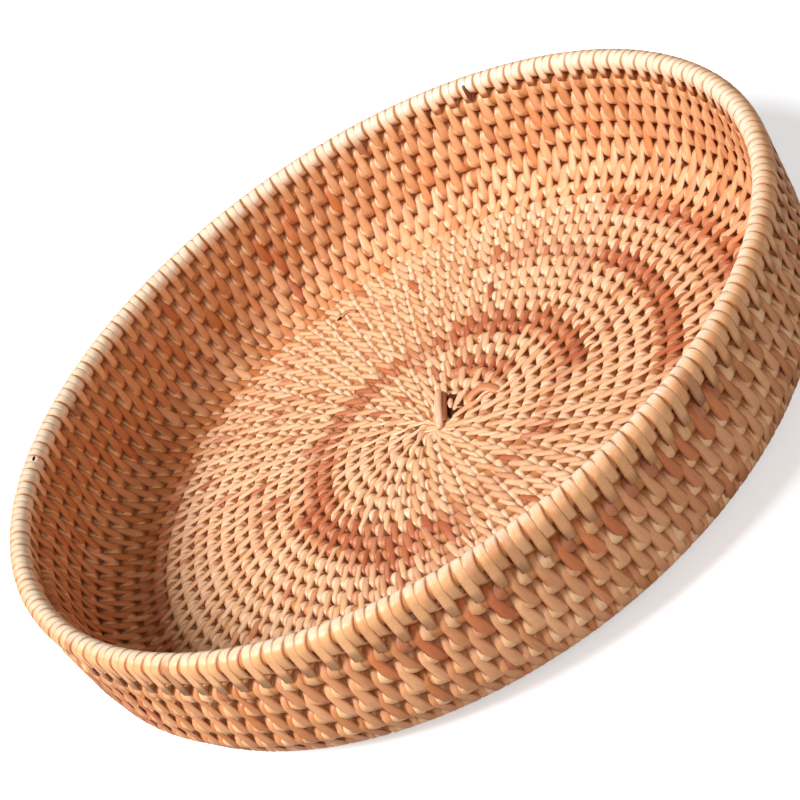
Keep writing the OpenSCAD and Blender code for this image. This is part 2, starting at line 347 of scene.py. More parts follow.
def shortWraps(zone):
    look = zone["look"]
    step = 360 / zone["pairs"]
    js = np.arange(math.ceil(360 * zone["from"] / step), math.floor(360 * zone["to"] / step))
    n = len(js)
    psi = np.radians(np.arange(0, 360, 30))
    mean = (look["padIn"] + look["padOut"]) / 2
    swing = (look["padOut"] - look["padIn"]) / 2
    jitter = rng.normal(0, wrap["jitter"], n)
    a = (js[:, None] + mean + swing * np.cos(psi) + jitter[:, None]) * step
    place, out, side, r = rodFrame(a, np.broadcast_to(psi, a.shape))
    pair = np.radians(step) * r
    facing = wrap["narrow"] + wrap["facing"] * np.cos(psi) ** 2
    share = np.where(np.cos(psi) > 0, look["padWideOut"], look["padWideIn"])
    wide = pair * share * facing * rng.normal(1, wrap["widthSpread"], n)[:, None]
    thick = np.full(a.shape, tray["stripT"]) * rng.uniform(wrap["thinnest"], 1.0, n)[:, None]
    verts, faces, strip = bandMesh(place, out, side, wide / 2, thick)
    q = qAt((js + 0.5) * step / 360)
    theta = np.radians((js + 0.5) * step) + startRad
    return verts, faces, strip, n, q, theta


# A long strip goes half round its own turn and half round the turn below it, and bridges the two
# on the tray's inner and outer side, where it sags towards the coil. The first one lies at the
# running angle firstAt, and a strip takes its colour from a place colourDown before its own turn.
stitch = {"firstAt": 400, "jitter": 0.04, "sag": 0.10, "pinch": 0.7, "widthSpread": 0.10,
          "thicknessSpread": 0.1, "colourDown": 2.5}


def longStitches(zone):
    look = zone["look"]
    step = 360 / zone["pairs"]
    first = max(360 * zone["from"], stitch["firstAt"])
    js = np.arange(math.ceil(first / step), math.floor(360 * zone["to"] / step))
    n = len(js)
    over = np.radians([0, 30, 60, 90, 120, 150, 180])
    under = np.radians([180, 225, 270, 315, 360])
    jitter = rng.normal(0, stitch["jitter"], n)
    aTop = np.broadcast_to(((js + jitter) * step)[:, None], (n, len(over)))
    lowShift = np.array([look["lowIn"], look["lowIn"] * 0.9 + look["lowOut"] * 0.1,
                         (look["lowIn"] + look["lowOut"]) / 2,
                         look["lowIn"] * 0.1 + look["lowOut"] * 0.9, look["lowOut"]])
    aLow = (js[:, None] + jitter[:, None] + lowShift) * step - 360
    top = rodFrame(aTop, np.broadcast_to(over, aTop.shape))
    low = rodFrame(aLow, np.broadcast_to(under, aLow.shape))

    def between(p, q):  # the strip's middle, where it crosses from one turn to the next
        place = (p[0] + q[0]) / 2 - (p[1] + q[1]) / 2 * stitch["sag"]
        out = p[1] + q[1]
        out = out / np.linalg.norm(out, axis=-1, keepdims=True)
        return place, out

    inMid = between([v[:, -1] for v in top[:2]], [v[:, 0] for v in low[:2]])
    outMid = between([v[:, 0] for v in top[:2]], [v[:, -1] for v in low[:2]])
    place = np.concatenate([top[0], inMid[0][:, None], low[0], outMid[0][:, None]], axis=1)
    out = np.concatenate([top[1], inMid[1][:, None], low[1], outMid[1][:, None]], axis=1)
    side = np.concatenate([top[2], top[2][:, -1:], low[2], top[2][:, :1]], axis=1)
    pairTop = np.radians(step) * top[3]
    pairLow = np.radians(step) * low[3]
    wide = np.empty(place.shape[:2])
    mid = len(over)  # the bridge on the inner side, and the one on the outer side comes last
    wide[:, :mid] = pairTop * look["longTop"]
    wide[:, mid + 1:-1] = pairLow * look["longLow"]
    wide[:, mid] = (wide[:, mid - 1] + wide[:, mid + 1]) / 2
    wide[:, -1] = (wide[:, 0] + wide[:, -2]) / 2
    crests = [mid // 2, mid + 1 + len(under) // 2]  # there it passes between two turns
    wide[:, crests] *= stitch["pinch"]
    wide *= rng.normal(1, stitch["widthSpread"], n)[:, None]
    swell = stitch["thicknessSpread"]
    thick = np.full(wide.shape, tray["stripT"]) * rng.uniform(1 - swell, 1 + swell, n)[:, None]
    thick[:, mid + 1:-1] = np.minimum(thick[:, mid + 1:-1], tray["stripT"])
    verts, faces, strip = bandMesh(place, out, side, wide / 2, thick)
    q = qAt(js * step / 360) - stitch["colourDown"]
    theta = np.radians(js * step) + startRad
    return verts, faces, strip, n, q, theta


# shares of the painted highlight on the rim's top and inner side
rimHighlightShare = {"up": 0.62, "inward": 0.8, "all": 0.12}


# How much painted highlight the rim's strips get, where the light falls on the rim's top and
# inner side: more with height above the rim's middle and with distance inwards from it, both in
# bound radii of the rim, and nothing off the rim.
def rimHighlight(verts):
    rise = (verts[:, 2] - tray["rimZ"]) / rimBoundR
    inward = (tray["rimR"] - np.hypot(verts[:, 0], verts[:, 1])) / rimBoundR
    onRim = (rise > -0.9) & (np.abs(inward) < 1.2)
    share = rimHighlightShare["up"] * rise + rimHighlightShare["inward"] * inward + rimHighlightShare["all"]
    return np.where(onRim, np.clip(share, 0, 1), 0.0)


# how the strips differ: tones from pale (below 0) to deep, and stains from 0 to 1
variety = {
    "tone": 0.9, "stain": 0.10,  # spread from strip to strip
    "oddShare": 0.06, "oddFrom": 0.3, "oddTo": 0.8,  # a browner strip here and there
    "wallFrom": 92, "wallTo": 155,  # q from the floor's edge to the rim
    # painted light and shade on the wall: deeper all over, paler on the side that faces the light,
    # browner on the shaded side
    "paintedWallShade": 0.25, "paintedLightTone": 1.5, "paintedLightAt": 0.9, "paintedShadeAt": 2.8,  # tone there, by angle
    # above this q only some strips of a stained patch are red, and what the others keep of it
    "straightFrom": 130, "redShare": 0.42, "keptStain": 0.2,
}


# Several strip meshes as one, with its attributes. A part is verts, faces, place on the strip,
# number of strips, and each strip's q and angle for its colours.
def joined(parts):
    verts, faces, strip, tone, stain = [], [], [], [], []
    offset = 0
    for v, f, s, n, q, theta in parts:
        verts.append(v)
        faces.append(f + offset)
        strip.append(s)
        offset += len(v)
        # painted light and shade: the wall is deeper all over, paler at the far end, which faces
        # the light, and browner at the left, in the shade
        paintedLightTone = variety["paintedLightTone"]
        paintedLight = (paintedLightTone * np.maximum(0, np.cos(theta - variety["paintedLightAt"])) ** 2
                - paintedLightTone * np.maximum(0, np.cos(theta - variety["paintedShadeAt"])))
        onWall = (q > variety["wallFrom"]) & (q < variety["wallTo"])
        shade = np.where(onWall, variety["paintedWallShade"] - paintedLight, 0.0)
        tone.append(spread(rng.normal(0, variety["tone"], n) + shade, len(v)))
        odd = rng.random(n) < variety["oddShare"]
        odd = odd * rng.uniform(variety["oddFrom"], variety["oddTo"], n)
        plain = (q > variety["straightFrom"]) & (rng.random(n) > variety["redShare"])
        luck = np.where(plain, variety["keptStain"], 1.0)
        mixed = stainAt(q, theta) * luck + rng.normal(0, variety["stain"], n) + odd
        stain.append(spread(np.clip(mixed, 0, 1), len(v)))
    verts = np.concatenate(verts)
    return (verts, np.concatenate(faces),
            {"strip": np.concatenate(strip), "tone": np.concatenate(tone),
             "stain": np.concatenate(stain), "rimHighlight": rimHighlight(verts)})


# Cane fibres: noise drawn out along the strip, slower noise for blotches, and a mask for the
# painted shade at the strip's edges, which grows from EdgeFrom to them. All three read the
# attribute strip.
def fibreGroup():
    tree = bpy.data.node_groups.new("caneFibre", "ShaderNodeTree")
    face = tree.interface
    face.new_socket("Fineness", in_out="INPUT", socket_type="NodeSocketFloat")
    face.new_socket("EdgeFrom", in_out="INPUT", socket_type="NodeSocketFloat")
    face.new_socket("Fibre", in_out="OUTPUT", socket_type="NodeSocketFloat")
    face.new_socket("Blotch", in_out="OUTPUT", socket_type="NodeSocketFloat")
    face.new_socket("Edge", in_out="OUTPUT", socket_type="NodeSocketFloat")
    new = tree.nodes.new
    link = tree.links.new
    given = new("NodeGroupInput")
    result = new("NodeGroupOutput")
    strip = new("ShaderNodeAttribute")
    strip.attribute_name = "strip"
    apart = new("ShaderNodeSeparateXYZ")
    link(strip.outputs["Vector"], apart.inputs[0])
    fineAcross = new("ShaderNodeMath")
    fineAcross.operation = "MULTIPLY"
    link(apart.outputs["X"], fineAcross.inputs[0])
    link(given.outputs["Fineness"], fineAcross.inputs[1])
    fineAlong = new("ShaderNodeMath")
    fineAlong.operation = "MULTIPLY"
    fineAlong.inputs[1].default_value = 0.22
    link(apart.outputs["Y"], fineAlong.inputs[0])
    fineAt = new("ShaderNodeCombineXYZ")
    link(fineAcross.outputs[0], fineAt.inputs[0])
    link(fineAlong.outputs[0], fineAt.inputs[1])
    fibre = new("ShaderNodeTexNoise")
    fibre.inputs["Scale"].default_value = 1.0
    fibre.inputs["Detail"].default_value = 3.0
    link(fineAt.outputs[0], fibre.inputs["Vector"])
    blotch = new("ShaderNodeTexNoise")
    blotch.inputs["Scale"].default_value = 0.35
    blotch.inputs["Detail"].default_value = 2.0
    link(strip.outputs["Vector"], blotch.inputs["Vector"])
    size = new("ShaderNodeMath")
    size.operation = "ABSOLUTE"
    link(apart.outputs["Z"], size.inputs[0])
    edge = new("ShaderNodeMapRange")
    edge.interpolation_type = "SMOOTHSTEP"
    edge.inputs["From Max"].default_value = 1.0
    link(size.outputs[0], edge.inputs["Value"])
    link(given.outputs["EdgeFrom"], edge.inputs["From Min"])
    link(fibre.outputs["Fac"], result.inputs["Fibre"])
    link(blotch.outputs["Fac"], result.inputs["Blotch"])
    link(edge.outputs[0], result.inputs["Edge"])
    return tree


fibreTree = fibreGroup()


def mixColour(tree, how, factor, first, second):  # values or sockets, mixed as colours
    node = tree.nodes.new("ShaderNodeMix")
    node.data_type = "RGBA"
    node.blend_type = how
    for at, value in ((0, factor), (6, first), (7, second)):
        if isinstance(value, (float, int)):
            node.inputs[at].default_value = value
        elif isinstance(value, tuple):
            node.inputs[at].default_value = value + (1.0,)
        else:
            tree.links.new(value, node.inputs[at])
    return node.outputs[2]


def stretch(tree, value, low, high, to0=0.0, to1=1.0):  # from low and high to to0 and to1
    node = tree.nodes.new("ShaderNodeMapRange")
    node.inputs["From Min"].default_value = low
    node.inputs["From Max"].default_value = high
    node.inputs["To Min"].default_value = to0
    node.inputs["To Max"].default_value = to1
    tree.links.new(value, node.inputs["Value"])
    return node.outputs[0]


def attribute(tree, name):
    node = tree.nodes.new("ShaderNodeAttribute")
    node.attribute_name = name
    return node.outputs["Fac"]


# Split cane: its colour goes from pale to deep by the attribute tone, which on the wall also
# carries painted light and shade, to the two stained colours by stain, to a paler painted
# highlight on the rim's top, and is darkened by blotches, fibres and a painted shade at the
# strip's edges.
cane = {
    "fineness": 4.5,
    "edgeFrom": 0.55,
    # colour of the rim's painted highlight
    "highlightColour": (0.96, 0.79, 0.60),
    "blotched": (0.80, 0.62, 0.45),
    "lined": (0.66, 0.47, 0.30),
    "toneRange": 2.2,
}


def caneMaterial(name, pale, deep, stainPale, stainDeep, edgeShadeColour, roughness, coat):
    material = bpy.data.materials.new(name)
    material.use_nodes = True
    tree = material.node_tree
    shader = tree.nodes["Principled BSDF"]
    shader.inputs["IOR"].default_value = 1.45
    shader.inputs["Coat Roughness"].default_value = 0.35
    shader.inputs["Coat Weight"].default_value = coat
    fibre = tree.nodes.new("ShaderNodeGroup")
    fibre.node_tree = fibreTree
    fibre.inputs["Fineness"].default_value = cane["fineness"]
    fibre.inputs["EdgeFrom"].default_value = cane["edgeFrom"]
    toneMask = stretch(tree, attribute(tree, "tone"), -cane["toneRange"], cane["toneRange"])
    plain = mixColour(tree, "MIX", toneMask, pale, deep)
    stained = mixColour(tree, "MIX", toneMask, stainPale, stainDeep)
    stainMask = stretch(tree, attribute(tree, "stain"), 0.12, 0.8)
    colour = mixColour(tree, "MIX", stainMask, plain, stained)
    # painted highlight: paler where the light falls on the rim's top and inner side
    colour = mixColour(tree, "MIX", attribute(tree, "rimHighlight"), colour, cane["highlightColour"])
    blotch = stretch(tree, fibre.outputs["Blotch"], 0.35, 0.7, 0.0, 0.30)
    colour = mixColour(tree, "MULTIPLY", blotch, colour, cane["blotched"])
    lines = stretch(tree, fibre.outputs["Fibre"], 0.46, 0.62, 0.0, 0.30)
    colour = mixColour(tree, "MULTIPLY", lines, colour, cane["lined"])
    # painted shade: the strip's edges darkened, as where they sink into the shade between turns
    edgeShade = stretch(tree, fibre.outputs["Edge"], 0.0, 1.0, 0.0, 0.75)
    colour = mixColour(tree, "MULTIPLY", edgeShade, colour, edgeShadeColour)
    tree.links.new(colour, shader.inputs["Base Color"])
    rough = stretch(tree, fibre.outputs["Fibre"], 0.35, 0.7, roughness - 0.06, roughness + 0.12)
    tree.links.new(rough, shader.inputs["Roughness"])
    bump = tree.nodes.new("ShaderNodeBump")
    bump.inputs["Strength"].default_value = 0.25
    bump.inputs["Distance"].default_value = 0.00015
    tree.links.new(fibre.outputs["Fibre"], bump.inputs["Height"])
    tree.links.new(bump.outputs[0], shader.inputs["Normal"])
    return material


# the round cane inside, seen only between the strips: two colours mixed by object-space noise
def coreMaterial():
    material = bpy.data.materials.new("roundCane")
    material.use_nodes = True
    tree = material.node_tree
    shader = tree.nodes["Principled BSDF"]
    shader.inputs["IOR"].default_value = 1.4
    where = tree.nodes.new("ShaderNodeTexCoord")
    noise = tree.nodes.new("ShaderNodeTexNoise")
    noise.inputs["Scale"].default_value = 260.0
    noise.inputs["Detail"].default_value = 4.0
    tree.links.new(where.outputs["Object"], noise.inputs["Vector"])
    mask = stretch(tree, noise.outputs["Fac"], 0.3, 0.7)
    colour = mixColour(tree, "MIX", mask, (0.62, 0.27, 0.095), (0.44, 0.16, 0.05))
    tree.links.new(colour, shader.inputs["Base Color"])
    rough = stretch(tree, noise.outputs["Fac"], 0.3, 0.7, 0.6, 0.8)
    tree.links.new(rough, shader.inputs["Roughness"])
    return material


longCane = caneMaterial("longStitchCane", (0.91, 0.61, 0.385), (0.77, 0.41, 0.20),
                        (0.64, 0.21, 0.085), (0.42, 0.11, 0.045), (0.62, 0.32, 0.15), 0.42, 0.10)
shortCane = caneMaterial("shortWrapCane", (0.92, 0.66, 0.45), (0.82, 0.49, 0.28),
                         (0.64, 0.25, 0.12), (0.44, 0.14, 0.06), (0.62, 0.32, 0.15), 0.50, 0.05)
rimCane = caneMaterial("rimCane", (0.90, 0.50, 0.25), (0.78, 0.38, 0.165),
                       (0.60, 0.27, 0.13), (0.42, 0.16, 0.07), (0.60, 0.34, 0.17), 0.40, 0.10)
loopCane = caneMaterial("loopCane", (0.93, 0.63, 0.42), (0.84, 0.48, 0.32),
                        (0.64, 0.25, 0.12), (0.44, 0.14, 0.06), (0.62, 0.34, 0.18), 0.45, 0.08)
# a dark copy of the loop's cane for its shaded side: painted shade
loopSideShadeCane = caneMaterial("loopSideShadeCane", (0.36, 0.115, 0.042), (0.26, 0.07, 0.025),
                            (0.5, 0.2, 0.08), (0.4, 0.12, 0.05), (0.6, 0.4, 0.25), 0.5, 0.05)
tailCane = caneMaterial("tailCane", (0.72, 0.31, 0.145), (0.56, 0.21, 0.09),
                        (0.6, 0.25, 0.1), (0.4, 0.14, 0.06), (0.6, 0.36, 0.2), 0.45, 0.08)
# near-black cane that stands for the shade inside hollows: painted shade
paintedHollowShade = caneMaterial("paintedHollowShade", (0.05, 0.010, 0.003), (0.035, 0.006, 0.002),
                          (0.05, 0.01, 0.003), (0.035, 0.006, 0.002), (0.6, 0.4, 0.3), 0.85, 0.0)
paintedStartHollowShade = caneMaterial("paintedStartHollowShade", (0.11, 0.030, 0.010), (0.075, 0.019, 0.007),
                               (0.11, 0.030, 0.010), (0.075, 0.019, 0.007), (0.5, 0.4, 0.3),
                               0.7, 0.0)
for dark in (paintedHollowShade, paintedStartHollowShade):
    dark.node_tree.nodes["Principled BSDF"].inputs["Specular IOR Level"].default_value = 0.05
spliceCane = caneMaterial("spliceCane", (0.17, 0.050, 0.018), (0.12, 0.03, 0.01),
                          (0.17, 0.05, 0.018), (0.12, 0.03, 0.01), (0.6, 0.4, 0.3), 0.6, 0.05)
# the wall's strips go deeper and redder than the floor's, and their deep end also carries the
# wall's painted shade
wallLongCane = caneMaterial("wallStitchCane", (0.90, 0.49, 0.255), (0.56, 0.20, 0.062),
                            (0.79, 0.28, 0.095), (0.52, 0.14, 0.045), (0.58, 0.28, 0.12),
                            0.42, 0.10)
wallShortCane = caneMaterial("wallWrapCane", (0.92, 0.61, 0.36), (0.78, 0.40, 0.175),
                             (0.62, 0.24, 0.11), (0.44, 0.14, 0.06), (0.58, 0.28, 0.12),
                             0.48, 0.06)
roundCane = coreMaterial()
print("materials made")

for node in ("centre_core", "floor_core", "corner_core", "wall_core", "core_tail", "rim_core"):
    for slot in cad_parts[node].material_slots:
        slot.material = roundCane


def bindZone(name, parts, node, material):  # one kind of strip of a part of the tray
    verts, faces, attributes = joined(parts)
    piece = addPiece(name, verts, faces, attributes, material)
    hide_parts(node)
    print(name, len(faces) * 2, "triangles")


# the floor in three parts, then corner and wall, whose short wraps include the tail's rings
def bindAll():
    for label, group in (("centre", zones[0:3]), ("middle", zones[3:5]), ("outer", zones[5:7]),
                         ("corner", zones[7:8]), ("wall", zones[8:9])):
        shorts = [shortWraps(z) for z in group]
        if label == "wall":
            shorts.append(tailWraps())
        upright = label in ("corner", "wall")
        bindZone(label + "ShortWraps", shorts, label + "_short_wraps",
                 wallShortCane if upright else shortCane)
        bindZone(label + "LongStitches", [longStitches(z) for z in group],
                 label + "_long_stitches", wallLongCane if upright else longCane)


# A thin dark lining through the middle of the coil's turns closes the sight lines between them, as
# the crowded strips and loose fibres do: the section line, moved out and in by half the thickness
# and carried once round.
lining = {"thick": 0.3, "from": 6, "count": 180}


def seamLining():
    q = np.concatenate([np.linspace(lining["from"], flatR, 30),
                        np.linspace(flatR + 1, flatR + bendLen, 16),
                        np.linspace(flatR + bendLen + 3, flatR + bendLen + wallLen - 1, 12)])
    r, z, bend = sectionPlace(q)
    half = lining["thick"] / 2
    outer = np.stack([r + np.sin(bend) * half, z - np.cos(bend) * half], axis=-1)
    inner = np.stack([r - np.sin(bend) * half, z + np.cos(bend) * half], axis=-1)
    ring = np.concatenate([outer, inner[::-1]])
    theta = np.linspace(0, 2 * np.pi, lining["count"], endpoint=False)
    verts = turned(ring[:, 0], ring[:, 1], theta[:, None])
    index = np.arange(lining["count"] * len(ring)).reshape(-1, len(ring))
    nxt = np.roll(index, -1, axis=0)
    faces = np.stack([index, nxt, np.roll(nxt, -1, 1), np.roll(index, -1, 1)], axis=-1)
    piece = addPiece("seamLining", verts.reshape(-1, 3), faces.reshape(-1, 4), {}, roundCane)
    print("seamLining made")


# The rim's strips; the widths, the lean and the steps are parts of a pair, the rest degrees and
# millimetres.
rimLook = {
    "pairs": 120,
    "shortWide": 0.53,
    "longWide": 0.49,
    "ringWide": 0.45,  # of the rings on the thin end of the tail
    "lean": 0.12,
    "ahead": 0.62,  # how far the long strips lie ahead of those of the turn below
    "moveOn": 0.6,  # and how much further they move on where the tail ends
    "shiftFrom": 170.0,
    "shiftTo": 205.0,
    "jitter": 0.03,  # of a long strip's place, and of a short strip's width
    "reachFrom": 118,  # where the short strips begin to reach down, and over how many degrees
    "reachOver": 22,
    "reachShort": 1.1,  # how much of the gap they leave
    "lowWide": 0.9,  # width of a long strip's lower end, as a share of its top's
    "through": 6.2,  # how far up that end goes past the tail, through the turn that it holds
    "thinnest": 0.85,
    "thinTail": (122, -4),  # the rings run from here to here, after the tail's start and its end
}
rimColourQ, tailColourQ = 160.0, 146.0  # what stands for q in the colours of rim and tail rings


# Long rim strips keep step with the turn below them; between shiftFrom and shiftTo degrees they
# move on by part of a pair, where they leave the pared tail and take hold of the last full turn.
def rimCentres():
    ahead = (math.ceil(tailStart / wallPair) + rimLook["ahead"]) * wallPair
    first = tray["startAngle"] + ahead - tailStart
    m = np.arange(rimLook["pairs"])
    plain = first + m * wallPair
    passed = np.clip((plain - rimLook["shiftFrom"])
                     / (rimLook["shiftTo"] - rimLook["shiftFrom"]), 0, 1)
    jitter = rng.normal(0, rimLook["jitter"], len(m))
    return plain + passed * rimLook["moveOn"] * wallPair + jitter * wallPair


rimAt = rimCentres()
rimBetween = (rimAt + np.append(rimAt[1:], rimAt[0] + 360)) / 2


# How far the rim strips reach below the rim cane: nothing where the pared tail is a turn of its
# own, then down to the last full turn, since rim cane and tail are wrapped together there. The
# second value is the share of that change that is made, from 0 to 1.
def rimReach(theta):
    past = (np.degrees(theta) - tray["startAngle"]) % 360
    _, z, _, bound = chainPlace(past + tailStart - 360)
    gap = tray["rimZ"] - rimBoundR - z - bound
    share = np.clip((past - rimLook["reachFrom"]) / rimLook["reachOver"], 0, 1)
    reach = np.maximum(gap - rimLook["reachShort"], 0)
    return reach * share * share * (3 - 2 * share), share


# place on the rim cane's surface, psi up from its outer side, with the directions out and along
def rimFrame(theta, psi):
    core = tray["rimCoreR"]
    outR, outZ = np.cos(psi), np.sin(psi)
    place = turned(tray["rimR"] + core * outR, tray["rimZ"] + core * outZ, theta)
    out = np.stack([outR * np.cos(theta), outR * np.sin(theta), outZ], axis=-1)
    side = np.stack([-np.sin(theta), np.cos(theta), np.zeros_like(theta)], axis=-1)
    return place, out, side


def rimShorts():  # rings between the long strips, whose undersides are moved down by rimReach
    n = len(rimBetween)
    psi = np.radians([-90, -67, -45, -22, 0, 22, 45, 67, 90, 112, 135, 158, 180, 202, 225, 247])
    lean = rimLook["lean"] * np.sin(psi - math.pi / 2) * wallPair
    theta = np.radians(rimBetween[:, None] + lean)
    place, out, side = rimFrame(theta, np.broadcast_to(psi, theta.shape))
    place[..., 2] -= rimReach(theta)[0] * (np.sin(psi) < -0.01)
    wide = np.full(theta.shape, np.radians(wallPair) * tray["rimR"] * rimLook["shortWide"])
    wide *= rng.normal(1, rimLook["jitter"], n)[:, None]
    thick = np.full(theta.shape, tray["stripT"])
    thick = thick * rng.uniform(rimLook["thinnest"], 1.0, n)[:, None]
    verts, faces, strip = bandMesh(place, out, side, wide / 2, thick, flatCrown)
    return verts, faces, strip, n, np.full(n, rimColourQ), theta[:, 0]


# A long strip goes half round the rim cane and half round the tail or the turn below, with a
# bridge on either side.
def rimLongs():
    n = len(rimAt)
    over = np.radians(np.arange(0, 181, 22.5))
    theta = np.radians(np.broadcast_to(rimAt[:, None], (n, len(over))))
    top = rimFrame(theta, np.broadcast_to(over, theta.shape))
    under = np.radians([180, 225, 270, 315, 360])
    onTail = (rimAt < rimLook["shiftTo"]) * 360.0
    aLow = rimAt - tray["startAngle"] + tailStart - 360 + onTail
    aLow = np.broadcast_to(aLow[:, None], (n, len(under)))
    low = rodFrame(aLow, np.broadcast_to(under, aLow.shape))[:3]
    held = rimLook["through"] * rimReach(np.radians(rimAt))[1]
    low[0][..., 2] += held[:, None] * np.array([0.3, 0.9, 1, 0.9, 0.3])
    parts = []
    for k in range(3):
        inMid = (top[k][:, -1:] + low[k][:, :1]) / 2
        outMid = (top[k][:, :1] + low[k][:, -1:]) / 2
        parts.append(np.concatenate([top[k], inMid, low[k], outMid], axis=1))
    place, out, side = parts
    out = out / np.linalg.norm(out, axis=-1, keepdims=True)
    m = place.shape[1]
    wide = np.full((n, m), np.radians(wallPair) * tray["rimR"] * rimLook["longWide"])
    wide[:, len(over) + 1:-1] *= rimLook["lowWide"]
    thick = np.full((n, m), tray["stripT"])
    thick = thick * rng.uniform(rimLook["thinnest"], 1.0, n)[:, None]
    verts, faces, strip = bandMesh(place, out, side, wide / 2, thick, flatCrown)
    return verts, faces, strip, n, np.full(n, rimColourQ), theta[:, 0]


def tailWraps():  # rings on the thin part of the tail, between the long rim strips
    past = rimBetween - tray["startAngle"]
    fromStart, fromEnd = rimLook["thinTail"]
    centre = rimBetween[(past > fromStart) & (past < coil["tailSweep"] + fromEnd)]
    n = len(centre)
    psi = np.radians(np.arange(0, 360, 30))
    a = np.broadcast_to((centre - tray["startAngle"] + tailStart)[:, None], (n, len(psi)))
    place, out, side, r = rodFrame(a, np.broadcast_to(psi, a.shape))
    wide = np.full(a.shape, np.radians(wallPair) * tray["rimR"] * rimLook["ringWide"])
    thick = np.full(a.shape, tray["stripT"])
    verts, faces, strip = bandMesh(place, out, side, wide / 2, thick)
    return verts, faces, strip, n, np.full(n, tailColourQ), np.radians(centre)


bindAll()
seamLining()
bindZone("rimShortWraps", [rimShorts()], "rim_short_wraps", rimCane)
bindZone("rimLongStitches", [rimLongs()], "rim_long_stitches", rimCane)
print("binding made")

# small features, each placed where the photo's line of sight meets what carries it
depsgraph = bpy.context.evaluated_depsgraph_get()
floorCarrier = ["centreShortWraps", "centreLongStitches", "middleShortWraps",
                "middleLongStitches", "outerShortWraps", "outerLongStitches"]
rimCarrier = ["rimShortWraps", "rimLongStitches"]
trees = {name: BVHTree.FromObject(bpy.data.objects[name], depsgraph)
         for name in floorCarrier + rimCarrier}
weaveTop = 2 * tray["floorBoundR"] - 0.25  # height of the floor's strips on top
nearSide = 0.30  # metres from the camera where a miss begins to look for a place


# The first place where the sight line of an image point meets the carrier, lifted towards the
# camera until it stands `rise` millimetres above the surface; a miss takes the nearest place. On
# the floor it is first lifted to weaveTop, so that no gap between strips swallows it.
def sighted(point, carrier, rise=0.0):
    start, way = sightLine(point)
    hits = [trees[name].ray_cast(start, way) for name in carrier]
    hits = [hit for hit in hits if hit[0] is not None]
    if hits:
        place, normal = min(hits, key=lambda hit: hit[3])[:2]
    else:
        steps = [start + way * (nearSide + 0.001 * k) for k in range(500)]
        near = [trees[name].find_nearest(step) for name in carrier for step in steps]
        place, normal = min(near, key=lambda hit: hit[3])[:2]
    if normal.dot(way) > 0:
        normal = -normal
    if carrier is floorCarrier:
        lift = max(0.0, weaveTop * 0.001 - place.z) / -way.z + rise * 0.001 / -way.z
    else:  # no further than at a view of about 70 degrees from the normal
        lift = rise / max(0.35, -normal.dot(way)) * 0.001
    return np.array(place - way * lift) * 1000, np.array(normal)


def smoothPath(controls, m):  # Catmull-Rom curve through the control points, evenly sampled
    p = np.concatenate([[2 * controls[0] - controls[1]], controls,
                        [2 * controls[-1] - controls[-2]]])
    t = np.linspace(0, len(controls) - 1, m)
    k = np.minimum(t.astype(int), len(controls) - 2)
    f = (t - k)[:, None]
    a, b, c, d = p[k], p[k + 1], p[k + 2], p[k + 3]
    return 0.5 * (2 * b + (c - a) * f + (2 * a - 5 * b + 4 * c - d) * f ** 2
                  + (3 * b - a - 3 * c + d) * f ** 3)


# A closed flattened rod along a path: across by halfWide and up by halfThick, corners rounded by
# the exponent `square` (1 is round), with flat ends.
def rodMesh(path, up, halfWide, halfThick, square=0.7):
    m, around = len(path), 12
    along = np.gradient(path, axis=0)
    along /= np.linalg.norm(along, axis=1, keepdims=True)
    side = np.cross(along, np.broadcast_to(up, path.shape))
    side /= np.linalg.norm(side, axis=1, keepdims=True)
    high = np.cross(side, along)
    turn = np.linspace(0, 2 * np.pi, around, endpoint=False)
    c = np.sign(np.cos(turn)) * np.abs(np.cos(turn)) ** square
    s = np.sign(np.sin(turn)) * np.abs(np.sin(turn)) ** square
    halfWide = np.broadcast_to(halfWide, m)
    halfThick = np.broadcast_to(halfThick, m)
    verts = (path[:, None] + side[:, None] * (halfWide[:, None] * c)[..., None]
             + high[:, None] * (halfThick[:, None] * s)[..., None])
    index = np.arange(m * around).reshape(m, around)
    here, nxt = index[:-1], index[1:]
    faces = np.stack([here, nxt, np.roll(nxt, -1, 1), np.roll(here, -1, 1)], axis=-1)
    k = np.arange(around // 2 - 1)
    cap = np.stack([k, k + 1, around - 2 - k, around - 1 - k], axis=-1)
    faces = np.concatenate([faces.reshape(-1, 4), index[0][cap], index[-1][::-1][cap]])
    run = np.linalg.norm(np.diff(path, axis=0, prepend=path[:1]), axis=1).cumsum()
    strip = np.stack([halfWide[:, None] * c, np.broadcast_to(run[:, None], (m, around)),
                      np.broadcast_to(c * 0.7, (m, around))], axis=-1)
    return verts.reshape(-1, 3), faces, strip.reshape(-1, 3)


def ends(m, small):  # 1 along the middle, falling to `small` at both ends
    t = np.linspace(-1, 1, m)
    return small + (1 - small) * (1 - np.abs(t) ** 6) ** 0.5


def addFeature(name, rods, material, node=None, tone=0.0):  # rods as one piece
    verts, faces, strip = [], [], []
    offset = 0
    for v, f, st in rods:
        verts.append(v)
        faces.append(f + offset)
        strip.append(st)
        offset += len(v)
    verts = np.concatenate(verts)
    attributes = {"strip": np.concatenate(strip), "tone": np.full(len(verts), tone),
                  "stain": np.zeros(len(verts))}
    piece = addPiece(name, verts, np.concatenate(faces), attributes, material)
    if node:
        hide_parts(node)
    print(name, "made")
    return piece


def sightedPath(names, rises, carrier, m):  # a curve through image points, and its mean normal
    places = [sighted(imagePoints[name], carrier, rise) for name, rise in zip(names, rises)]
    up = np.mean([normal for _, normal in places], axis=0)
    return smoothPath(np.array([place for place, _ in places]), m), up / np.linalg.norm(up)


floorUp = np.array([0.0, 0.0, 1.0])


